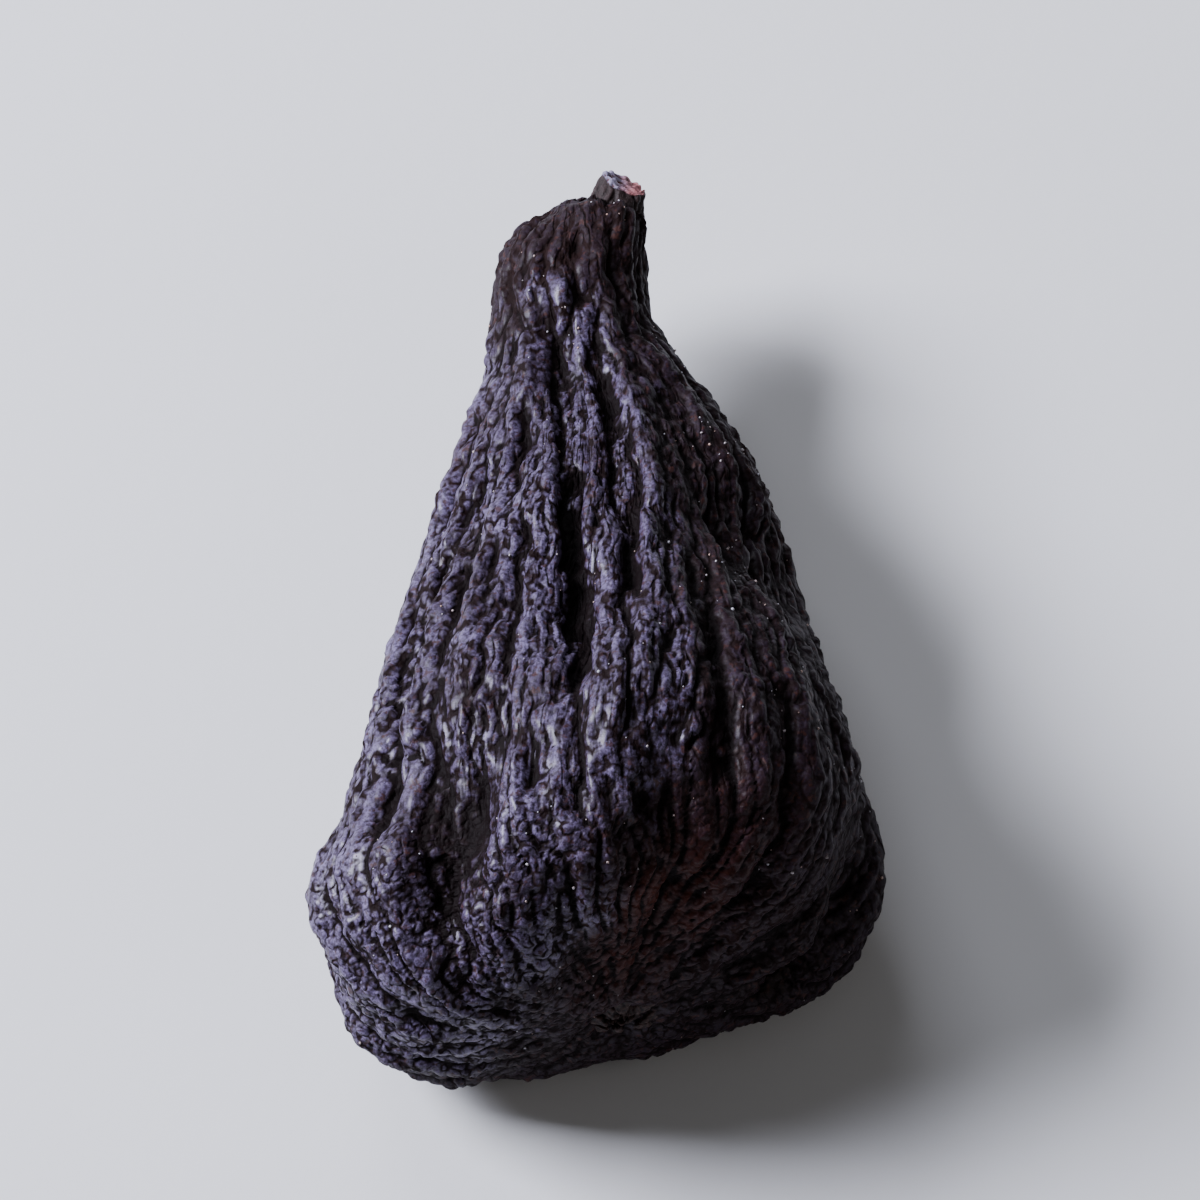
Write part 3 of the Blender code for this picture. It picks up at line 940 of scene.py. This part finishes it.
@dataclass
class FigSkin:
    """The whole outside of the fruit, with its fine wrinkles and pebbles.

    Sizes are in millimetres. Counts are for each radian round the fruit, in the neck and in the belly. A
    level is what a pattern has on the skin's own surface. Any other pair is where something starts and
    where it is full. The neck's end is given in shares of the stalk, and a groove's lips in its widths.
    """

    flow: FigFlow
    stalk: StalkLine
    grid: float = 0.203
    quick_grid: float = 0.34
    fold_counts: tuple[float, float] = (2.3, 5.4)
    fold_length: float = 13.0
    fold_height: float = 0.40
    fold_level: float = 0.7
    wrinkle_counts: tuple[float, float] = (3.9, 11.5)
    wrinkle_length: float = 7.0
    wrinkle_height: float = 0.22
    wrinkle_level: float = 0.6
    wrinkle_drift: float = 0.30
    wrinkles_from_eye: tuple[float, float] = (4.0, 11.0)
    relief_from_eye: tuple[float, float] = (1.2, 3.0)
    relief_from_floor: tuple[float, float] = (0.3, 2.5)
    belly_radius: tuple[float, float] = (4.2, 8.0)
    groove_fade: tuple[float, float] = (0.2, 3.5)
    groove_lip: float = 0.14
    groove_lip_away: float = 2.3
    groove_lip_width: float = 0.8
    neck_end: tuple[float, float] = (-0.1, 0.25)
    lip_height: float = 1.5
    lip_reach: tuple[float, float] = (1.3, 3.6)
    hug: float = 0.52
    hug_middle: float = 2.0
    hug_reach: float = 0.55
    seed_reach: tuple[float, float] = (0.75, 1.5)
    seed_moat: float = 0.12
    seed_moat_radius: float = 0.95
    seed_moat_width: float = 0.25
    pebble_size: Point = (0.78, 1.35, 0.78)
    round_pebble_size: float = 0.80
    pebble_height: float = 0.17
    pebble_level: float = 0.55
    swells: Patches = Patches(1.9, 0.14, 40.0)
    floor_gap: float = 0.02
    base: tuple[float, float] = (-12.0, -19.0)
    neck: tuple[float, float] = (12.0, 19.0)
    hollow: Point = (-6.8, -16.4, 16.3)
    hollow_reach: Point = (2.7, 3.0, 3.2)
    hollow_depth: float = 0.5
    hollow_shade: float = 0.20
    crest_rounds: tuple[int, int] = (4, 40)
    crest_amounts: tuple[float, float] = (0.19, 0.15)
    # The pale bloom_and_sheen is part real sugar dust and part painted sheen; its rim band is a painted
    # highlight, and it is taken off where painted shade falls.
    bloom_and_sheen_level: float = 0.80
    bloom_and_sheen_patches: tuple[Patches, ...] = (Patches(5.5, 0.60, 25.0), Patches(1.7, 0.35, 90.0))
    rim_painted_highlight: float = 0.95
    rim_reach: float = 2.4
    rim_facing: Point = (0.83, -0.486, -0.258)
    rim_offset: float = 5.3
    # Where the pale colour is taken off: painted shade on the base, the right flank and the underside, and
    # the neck's own darker skin.
    bare_and_shaded_patches: tuple[Patches, ...] = (Patches(3.4, 2.0, 55.0), Patches(1.2, 1.2, 15.0))
    bare_and_shaded_edge: tuple[float, float] = (-0.9, 1.0)
    shaded_flank_from: float = 4.2
    bare_neck_from: float = 14.0
    painted_shade_near_floor: tuple[float, float] = (1.5, 7.0)
    ruddy_patches: Patches = Patches(3.1, 0.9, 70.0)
    ruddy_places: tuple[RuddyPlace, ...] = (
        RuddyPlace((3.6, -19.6, 14.5), 3.4, 1.0),
        RuddyPlace((1.6, -21.0, 12.0), 2.8, 0.8),
        RuddyPlace((6.5, -17.0, 14.5), 3.2, 0.4),
        RuddyPlace((-9.0, 8.0, 8.0), 3.0, 0.5),
        RuddyPlace((9.0, 6.0, 5.0), 3.6, 0.7),
    )

    def build(self) -> bpy.types.Object:
        """Builds the skin.

        Returns:
            The dressed piece, in place.
        """
        skin = Workshop.copy_of_node("fig_body", "fig_skin")
        Workshop.modify(skin, "SUBSURF", levels=2, render_levels=2)
        size = self.grid
        Workshop.modify(skin, "REMESH", mode="VOXEL", voxel_size=size)
        Workshop.modify(skin, "SMOOTH", factor=0.5, iterations=4)
        surface = Surface(skin)
        self.wrinkle(surface)
        self.mark(surface)
        Workshop.finish(skin, SkinFinish().material(), "fig_skin")
        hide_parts("fig_body")
        return skin

    def wrinkle(self, surface: Surface) -> None:
        """Raises the fine wrinkles and pebbles.

        Args:
            surface: The skin's points, which are moved.
        """
        points = surface.points
        way = self.flow.of(points)
        run = way[1]
        drift = wander(points / 2.3)
        fine = self.long_wrinkles(way, self.wrinkle_counts, self.wrinkle_length, drift)
        folds = self.long_wrinkles(way, self.fold_counts, self.fold_length, drift)
        height = self.wrinkle_height * (fine - self.wrinkle_level)
        height += self.fold_height * (folds - self.fold_level)
        height *= 0.35 + 0.65 * smooth_step(run, *self.wrinkles_from_eye)
        height += self.pebble_height * (self.pebbles(points + 0.45 * drift) - self.pebble_level)
        height += self.swells.over(points)
        height += self.groove_height(surface, drift)
        hollow = self.in_hollow(points)
        height = height * (1.0 - 0.2 * hollow) - self.hollow_depth * hollow
        off_eye = smooth_step(run, *self.relief_from_eye)
        off_floor = smooth_step(points[:, 2], *self.relief_from_floor)
        height *= (0.25 + 0.75 * off_eye) * (0.15 + 0.85 * off_floor)
        for place in SEED_PLACES:
            away = np.linalg.norm(points - np.array(place), axis=1)
            height *= smooth_step(away, *self.seed_reach)
            moat = (away - self.seed_moat_radius) / self.seed_moat_width
            height -= self.seed_moat * np.exp(-(moat**2))
        surface.move(height)
        moved = self.closed_on_stalk(surface.points)
        moved[:, 2] = np.maximum(moved[:, 2], self.floor_gap)
        surface.place(moved)

    def closed_on_stalk(self, points: np.ndarray) -> np.ndarray:
        """Draws the end of the neck up the stalk and in against it.

        Args:
            points: The skin's points.

        Returns:
            The moved points.
        """
        away, outward = self.stalk.away(points), self.stalk.outward(points)
        end = smooth_step(self.stalk.along(points), *self.neck_end)
        lift = self.lip_height * end * (1.0 - smooth_step(away, *self.lip_reach))
        squeeze = self.hug * end * np.exp(-(((away - self.hug_middle) / self.hug_reach) ** 2))
        return points + np.outer(lift, self.stalk.axis) - squeeze[:, None] * outward

    def long_wrinkles(
        self, way: Sequence[np.ndarray], counts: tuple[float, float], length: float, drift: np.ndarray
    ) -> np.ndarray:
        """Wrinkles along the fruit, more of them where it is wide.

        Args:
            way: The angle round the fruit, the distance from its eye and its radius.
            counts: How many there are for each radian, in the neck and in the belly.
            length: About how long one is.
            drift: How far each point's pattern wanders.

        Returns:
            0 in the grooves, up to 1 on the crests.
        """
        angle, run, radius = way
        wide = smooth_step(radius, *self.belly_radius)
        total = np.zeros(len(angle))
        for count, share in zip(counts, (1.0 - wide, wide)):
            place = np.stack([np.cos(angle) * count, np.sin(angle) * count, run / length], axis=1)
            wandering = place + self.wrinkle_drift * drift + 11.0 * count
            total += share * np.tanh(5.0 * np.abs(perlin(wandering)))
        return total

    def groove_height(self, surface: Surface, drift: np.ndarray) -> np.ndarray:
        """The long grooves, each between two low lips.

        Args:
            surface: The skin's points.
            drift: How far each point's pattern wanders.

        Returns:
            Heights in millimetres, below 0 in the grooves.
        """
        height = np.zeros(len(surface.points))
        uneven = 0.85 + 0.5 * drift[:, 1]
        for groove in LONG_GROOVES:
            across = surface.sideways_from(groove.line) + 0.25 * drift[:, 0]
            to_start = np.linalg.norm(surface.points - np.array(groove.line[0]), axis=1)
            to_end = np.linalg.norm(surface.points - np.array(groove.line[-1]), axis=1)
            fading = smooth_step(np.minimum(to_start, to_end), *self.groove_fade)
            height -= groove.depth * uneven * fading * np.exp(-((across / groove.width) ** 2))
            off_lip = (across - self.groove_lip_away * groove.width) / (self.groove_lip_width * groove.width)
            height += self.groove_lip * fading * np.exp(-(off_lip**2))
        return height

    def pebbles(self, points: np.ndarray) -> np.ndarray:
        """Pebbles that are long on the flanks and round on the base.

        Args:
            points: The points, already wandering.

        Returns:
            0 in the cracks between pebbles, up to 1 on their tops.
        """
        base = smooth_step(points[:, 1], *self.base)
        long = np.minimum(1.0, 2.0 * cells(points / np.array(self.pebble_size)))
        round_ones = np.minimum(1.0, 2.0 * cells(points / self.round_pebble_size + 5.0))
        return long * (1.0 - base) + round_ones * base

    def mark(self, surface: Surface) -> None:
        """Keeps what the finish reads at the vertices: crests, which carry painted shade in the hollow, the
        pale bloom_and_sheen with its painted rim highlight and painted shade, ruddy places, neck, base and
        flow.

        Args:
            surface: The skin's points, already moved.
        """
        points = surface.points
        hollow = self.in_hollow(points)
        crests = surface.crests(self.crest_rounds, self.crest_amounts)
        # Painted shade: the crests are lowered in the hollow so that its colour goes dark.
        surface.keep(Mask.CREST, crests - self.hollow_shade * hollow)
        ruddy = np.zeros(len(points))
        for place in self.ruddy_places:
            distance = np.linalg.norm(points - np.array(place.middle), axis=1) / place.reach
            ruddy = np.maximum(ruddy, place.amount * np.exp(-(distance**2)))
        uneven = 0.5 + self.ruddy_patches.over(points)
        surface.keep(Mask.RUDDY, np.clip(ruddy * (0.6 + 0.8 * uneven), 0.0, 1.0))
        bloom_and_sheen = sum((patches.over(points) for patches in self.bloom_and_sheen_patches), self.bloom_and_sheen_level)
        # Less of the pale colour in the hollow: painted shade.
        bloom_and_sheen *= 1.0 - 0.8 * hollow
        # Painted highlight: a band of the pale colour along the rolled rim.
        bloom_and_sheen += self.rim_painted_highlight * np.exp(-((surface.sideways_from(RIM) / self.rim_reach) ** 2))
        # Painted shade: none of the pale colour on the base, the right flank and the underside; the neck has
        # none of its own.
        bloom_and_sheen *= 1.0 - 0.9 * self.bare_and_shaded(points)
        surface.keep(Mask.BLOOM, np.clip(bloom_and_sheen * (1.0 - 0.8 * ruddy), 0.0, 1.0))
        surface.keep(Mask.NECK, smooth_step(points[:, 1], *self.neck))
        surface.keep(Mask.BASE, smooth_step(points[:, 1], *self.base))
        angle, run, radius = self.flow.of(points)
        surface.keep(Mask.FLOW, np.stack([np.cos(angle), np.sin(angle), run], axis=1))
        surface.keep(Mask.WIDE, smooth_step(radius, *self.belly_radius))

    def in_hollow(self, points: np.ndarray) -> np.ndarray:
        """How deep in the hollow behind the rolled rim points are: 1 in its middle."""
        away = np.linalg.norm((points - np.array(self.hollow)) / np.array(self.hollow_reach), axis=1)
        return np.exp(-(away**2))

    def over_rim(self, points: np.ndarray) -> np.ndarray:
        """How far over the rolled rim points are, in millimetres: above 0 on the base."""
        return points @ np.array(self.rim_facing) - self.rim_offset

    def bare_and_shaded(self, points: np.ndarray) -> np.ndarray:
        """How far the pale colour is taken off: all of it on the base, the right flank and the underside, as
        painted shade, and on the neck, whose own skin has none.

        Args:
            points: The skin's points.

        Returns:
            0 where all the pale colour is left, up to 1 where none is.
        """
        x, y, z = points.T
        uneven = sum(patches.over(points) for patches in self.bare_and_shaded_patches)
        # Painted shade past the rolled rim and on the right flank; the neck's own skin carries none of the
        # pale colour.
        flank = x - self.shaded_flank_from + 0.30 * np.maximum(y, 0.0)
        neck = (y - self.bare_neck_from) * 0.5
        furthest = np.maximum(np.maximum(self.over_rim(points), flank), neck)
        blend_share = smooth_step(furthest + uneven, *self.bare_and_shaded_edge)
        # Painted shade: the pale colour fades out towards the floor.
        under = 1.0 - smooth_step(z + 0.6 * uneven, *self.painted_shade_near_floor)
        return np.maximum(blend_share, under)


@dataclass
class CutStalk:
    """The short stalk with its broken end. Sizes are in millimetres."""

    line: StalkLine
    rib_height: float = 0.20
    rib_level: float = 0.75
    rib_size: float = 0.36
    rib_stretch: float = 0.88
    grain: Patches = Patches(0.28, 0.07, 0.0)
    end_share: float = 0.80
    end_facing: tuple[float, float] = (0.15, 0.6)
    end_pits: Patches = Patches(0.5, 1.0, 8.0)
    end_pit_depth: float = 0.36
    crest_rounds: tuple[int, int] = (2, 8)
    crest_amounts: tuple[float, float] = (0.17, 0.15)

    def build(self) -> bpy.types.Object:
        """Builds the stalk.

        Returns:
            The dressed piece, in place.
        """
        stalk = Workshop.copy_of_node("stem_stub", "cut_stalk")
        Workshop.modify(stalk, "SUBSURF", levels=2, render_levels=2)
        self.weather(Surface(stalk))
        Workshop.finish(stalk, StalkFinish().material(), "stalk_bark")
        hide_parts("stem_stub")
        return stalk

    def weather(self, surface: Surface) -> None:
        """Gives the bark its ribs and the broken end its pits, and marks the end.

        Args:
            surface: The stalk's points, which are moved.
        """
        points = surface.points
        share = self.line.along(points)
        facing = surface.normals @ self.line.axis
        end = smooth_step(facing, *self.end_facing)
        end *= smooth_step(share, self.end_share - 0.2, self.end_share)
        squeezed = points - np.outer(share * self.line.length, self.line.axis) * self.rib_stretch
        ribs = np.tanh(3.5 * np.abs(perlin(squeezed / self.rib_size)))
        height = self.rib_height * (ribs - self.rib_level) * (1.0 - end)
        height += self.grain.over(points)
        height -= self.end_pit_depth * end * np.abs(self.end_pits.over(points))
        surface.move(height)
        surface.keep(Mask.BROKEN, end)
        surface.keep(Mask.CREST, surface.crests(self.crest_rounds, self.crest_amounts))


class Scatter:
    """Places small copies of a shape on the skin."""

    def __init__(self, skin: bpy.types.Object) -> None:
        """Reads the skin's faces, in millimetres.

        Args:
            skin: The finished skin.
        """
        mesh = skin.data
        mesh.calc_loop_triangles()
        corners = np.array([triangle.vertices[:] for triangle in mesh.loop_triangles])
        points = triples(mesh.vertices, "co") * TO_MM
        self.tree = BVHTree.FromPolygons(points.tolist(), corners.tolist())
        self.corners = points[corners]
        sides = np.cross(self.corners[:, 1] - self.corners[:, 0], self.corners[:, 2] - self.corners[:, 0])
        self.areas = np.linalg.norm(sides, axis=1) / 2.0
        self.normals = sides / np.maximum(2.0 * self.areas[:, None], 1e-9)
        self.middles = self.corners.mean(axis=1)

    def spots(
        self, count: int, liking: np.ndarray, draw: np.random.Generator
    ) -> Iterable[tuple[Vector, Vector]]:
        """Draws places on the skin.

        Args:
            count: How many.
            liking: How likely each face is, for its area.
            draw: The seeded source of chance.

        Yields:
            A place and the skin's outward direction there.
        """
        chance = self.areas * np.maximum(liking, 0.0)
        chosen = draw.choice(len(chance), size=count, p=chance / chance.sum())
        weights = draw.dirichlet((1.0, 1.0, 1.0), size=count)
        for face, weight in zip(chosen, weights):
            yield Vector(weight @ self.corners[face]), Vector(self.normals[face])


@dataclass
class SugarGrains:
    """Crystals of sugar that have dried on the skin. Sizes are in millimetres."""

    scatter: Scatter
    count: int = 430
    smallest: float = 0.045
    largest: float = 0.12
    sunk: float = 0.25
    clumps: Patches = Patches(4.0, 1.0, 12.0)
    clump_level: float = 0.12
    on_flank: tuple[float, float] = (0.0, 9.0)
    off_floor: tuple[float, float] = (0.8, 3.0)

    def crystal(self) -> bpy.types.Object:
        """Makes one crystal: a small block with its corners cut off.

        Returns:
            The crystal, one unit across.
        """
        Workshop.deselect()
        bpy.ops.mesh.primitive_cube_add(size=1.0)
        bpy.ops.object.mode_set(mode="EDIT")
        bpy.ops.mesh.select_all(action="SELECT")
        bpy.ops.mesh.bevel(offset=0.28, segments=1, affect="VERTICES")
        bpy.ops.object.mode_set(mode="OBJECT")
        return bpy.context.object

    def build(self) -> bpy.types.Object:
        """Builds all the grains as one piece.

        Returns:
            The dressed piece, in place.
        """
        draw = np.random.default_rng(SEED)
        middles = self.scatter.middles
        flank = smooth_step(middles[:, 0] + 0.3 * middles[:, 1], *self.on_flank)
        clumps = np.maximum(0.0, self.clumps.over(middles) + self.clump_level)
        liking = (0.35 + flank) * clumps * smooth_step(middles[:, 2], *self.off_floor)
        places = []
        for point, outward in self.scatter.spots(self.count, liking, draw):
            size = self.smallest + (self.largest - self.smallest) * draw.random() ** 3
            turn = Euler(draw.random(3) * 6.3).to_matrix().to_4x4()
            stretch = Matrix.Diagonal((*(size * (0.7 + 0.6 * draw.random(3))), 1.0))
            places.append(Matrix.Translation(point + outward * size * self.sunk) @ turn @ stretch)
        grains = Workshop.copies("sugar_grains", self.crystal(), places)
        Workshop.finish(grains, SugarFinish().material(), "fig_skin")
        return grains


@dataclass
class GoldenSeeds:
    """The few seeds that have come through the skin, over those of the CAD model."""

    scatter: Scatter
    size: Point = (1.60, 1.24, 1.24)
    skin_reach: float = 2.0
    twist: float = 0.15

    def seed(self) -> bpy.types.Object:
        """Makes one seed: an egg shape with a pointed end, a blunt end and a low keel.

        Returns:
            The seed, about one unit long.
        """
        shape = Workshop.block(1)
        Workshop.reshape(shape, lambda place: place.x > 0.4, (1.0, 0.42, 0.46), (0.14, 0.0, 0.0))
        Workshop.reshape(shape, lambda place: place.x < -0.4, (1.0, 0.72, 0.72), (-0.06, 0.0, 0.0))
        Workshop.reshape(shape, lambda place: abs(place.x) < 0.1, (1.0, 1.22, 1.22))
        Workshop.reshape(shape, lambda place: place.z > 0.3 and abs(place.y) < 0.1, shift=(0.0, 0.0, 0.07))
        Workshop.modify(shape, "SUBSURF", levels=3, render_levels=3)
        return shape

    def build(self) -> bpy.types.Object:
        """Builds the seeds as one piece.

        Returns:
            The dressed piece, in place.
        """
        draw = random.Random(SEED)
        matrices = []
        for place in SEED_PLACES:
            near = np.linalg.norm(self.scatter.middles - np.array(place), axis=1) < self.skin_reach
            outward = Vector(self.scatter.normals[near].mean(axis=0)).normalized()
            along = Vector((0.0, 1.0, 0.0)).cross(outward).cross(outward).normalized()
            turn = Matrix((along, outward.cross(along), outward)).transposed().to_4x4()
            twist = Matrix.Rotation(draw.uniform(-self.twist, self.twist), 4, "Z")
            stretch = Matrix.Diagonal((*self.size, 1.0))
            matrices.append(Matrix.Translation(place) @ turn @ twist @ stretch)
        seeds = Workshop.copies("golden_seeds", self.seed(), matrices)
        Workshop.finish(seeds, SeedFinish().material(), "fig_skin")
        return seeds


@dataclass(frozen=True)
class Whorl:
    """One ring of scales round the eye, in millimetres."""

    count: int
    radius: float
    length: float
    lift: float


@dataclass
class EyeScales:
    """The small dry scales that close the eye in the middle of the base.

    Sizes are in millimetres, and a scale's lift, length and width each vary by a share between two limits.
    """

    scatter: Scatter
    eye: Point
    whorls: tuple[Whorl, ...] = (
        Whorl(8, 1.50, 1.05, 0.30),
        Whorl(6, 0.95, 0.90, 0.55),
        Whorl(5, 0.48, 0.75, 0.95),
    )
    facing: Point = (0.06, -1.0, 0.05)
    turn: float = 0.16
    lifts: tuple[float, float] = (0.7, 1.3)
    lengths: tuple[float, float] = (0.85, 1.2)
    widths: tuple[float, float] = (0.8, 1.15)
    width: float = 0.86
    thickness: float = 0.34
    grain: tuple[Patches, ...] = (Patches(0.30, 1.0, 0.0), Patches(0.14, 0.5, 0.0))
    grain_height: float = 0.09
    crest_rounds: tuple[int, ...] = (4,)
    crest_amounts: tuple[float, ...] = (0.2,)

    def scale(self) -> bpy.types.Object:
        """Makes one scale: a pointed tongue with a keel, its tip curled up and its edges turned down.

        Returns:
            The scale, about one unit long.
        """
        shape = Workshop.block(2)
        Workshop.reshape(shape, lambda place: place.x > 0.4, (1.0, 0.16, 0.35), (0.10, 0.0, 0.42))
        Workshop.reshape(shape, lambda place: 0.1 < place.x < 0.4, (1.0, 0.74, 0.80), (0.0, 0.0, 0.08))
        Workshop.reshape(shape, lambda place: abs(place.y) > 0.4, shift=(0.0, 0.0, -0.26))
        Workshop.reshape(shape, lambda place: place.z > 0.3 and abs(place.y) < 0.2, shift=(0.0, 0.0, 0.16))
        Workshop.modify(shape, "SUBSURF", levels=2, render_levels=2)
        return shape

    def build(self) -> bpy.types.Object:
        """Builds the scales as one piece.

        Returns:
            The dressed piece, in place.
        """
        draw = random.Random(SEED + 1)
        start = Vector((self.eye[0], self.eye[1] - 12.0, self.eye[2]))
        centre, *_ = self.scatter.tree.ray_cast(start, Vector((0.0, 1.0, 0.0)))
        outward = Vector(self.facing).normalized()
        side = outward.orthogonal().normalized()
        matrices = []
        for whorl in self.whorls:
            for number in range(whorl.count):
                step = number + 0.5 * (whorl.count % 2)
                angle = 2.0 * math.pi * step / whorl.count + draw.uniform(-self.turn, self.turn)
                away = Matrix.Rotation(angle, 3, outward) @ side
                point, *_ = self.scatter.tree.find_nearest(centre + away * whorl.radius)
                inward = (-away + outward * whorl.lift * draw.uniform(*self.lifts)).normalized()
                up = (outward - inward * outward.dot(inward)).normalized()
                turn = Matrix((inward, up.cross(inward), up)).transposed().to_4x4()
                length = whorl.length * draw.uniform(*self.lengths)
                width = self.width * draw.uniform(*self.widths)
                stretch = Matrix.Diagonal((length, width, self.thickness, 1.0))
                matrices.append(Matrix.Translation(point) @ turn @ stretch)
        scales = Workshop.copies("eye_scales", self.scale(), matrices)
        surface = Surface(scales)
        rough = sum(patches.over(surface.points) for patches in self.grain)
        surface.move(self.grain_height * rough)
        surface.keep(Mask.CREST, surface.crests(self.crest_rounds, self.crest_amounts))
        Workshop.finish(scales, ScaleFinish().material(), "fig_skin")
        return scales


@dataclass(frozen=True)
class SoftLight:
    """One soft light that looks at the fig: the side of its square in metres and its power in watts."""

    name: str
    place: Point
    size: float
    power: float
    colour: Point


@dataclass
class Studio:
    """The pale floor, the soft lights and the camera, in metres, but for the sensor in millimetres."""

    lights: tuple[SoftLight, ...] = (
        SoftLight("window", (-0.47, 0.13, 0.37), 0.26, 13.0, (0.85, 0.87, 1.0)),
        SoftLight("back_sky", (-0.20, 0.50, 0.45), 0.30, 1.9, (0.86, 0.89, 1.0)),
        SoftLight("warm_fill", (0.50, -0.25, 0.45), 0.45, 0.5, (1.0, 0.92, 0.86)),
    )
    elevation: float = math.radians(62.0)
    distance: float = 0.52
    frame_height: float = 0.0585
    sensor: float = 36.0
    aim: Point = (0.0002, 0.0003, 0.0085)
    floor_size: float = 4.0
    floor_drop: float = 0.00002
    world: Colour = (0.80, 0.83, 0.88, 1.0)
    world_strength: float = 0.10

    def build(self) -> None:
        """Builds all of it."""
        self.floor()
        for light in self.lights:
            self.hang(light)
        self.sky()
        self.camera()

    def floor(self) -> None:
        """Adds the floor, which is stage and not part of the fig."""
        Workshop.deselect()
        bpy.ops.mesh.primitive_plane_add(size=self.floor_size, location=(0.0, 0.0, -self.floor_drop))
        floor = bpy.context.object
        floor.name = "pale_floor"
        floor.data.materials.append(FloorFinish().material())

    def hang(self, light: SoftLight) -> None:
        """Adds one soft light.

        Args:
            light: The light to add.
        """
        data = bpy.data.lights.new(light.name, "AREA")
        data.size = light.size
        data.energy = light.power
        data.color = light.colour
        lamp = bpy.data.objects.new(light.name, data)
        lamp.location = light.place
        lamp.rotation_euler = (Vector(self.aim) - lamp.location).to_track_quat("-Z", "Y").to_euler()
        bpy.context.scene.collection.objects.link(lamp)

    def sky(self) -> None:
        """Gives the room a plain pale light."""
        world = bpy.data.worlds.new("room")
        world.use_nodes = True
        background = world.node_tree.nodes["Background"]
        background.inputs["Color"].default_value = self.world
        background.inputs["Strength"].default_value = self.world_strength
        bpy.context.scene.world = world

    def camera(self) -> None:
        """Adds the camera at the photograph's angle: from the fig's base, looking down along its length."""
        data = bpy.data.cameras.new("view_from_base")
        data.sensor_width = self.sensor
        data.lens = self.sensor * self.distance / self.frame_height
        camera = bpy.data.objects.new("view_from_base", data)
        away = Vector((0.0, -math.cos(self.elevation), math.sin(self.elevation)))
        camera.location = Vector(self.aim) + away * self.distance
        camera.rotation_euler = (-away).to_track_quat("-Z", "Y").to_euler()
        bpy.context.scene.collection.objects.link(camera)
        bpy.context.scene.camera = camera


def report(piece: bpy.types.Object) -> None:
    """Logs a finished piece's name and its number of faces."""
    LOG.info("%s: %d faces", piece.name, len(piece.data.polygons))


def main() -> None:
    """Builds the fig piece by piece, then the studio round it."""
    logging.basicConfig(level=logging.INFO, format="%(name)s: %(message)s")
    flow = FigFlow()
    stalk_line = StalkLine()
    skin = FigSkin(flow, stalk_line).build()
    report(skin)
    report(CutStalk(stalk_line).build())
    scatter = Scatter(skin)
    report(GoldenSeeds(scatter).build())
    report(SugarGrains(scatter).build())
    report(EyeScales(scatter, flow.eye).build())
    Studio().build()


if __name__ == "__main__":
    main()
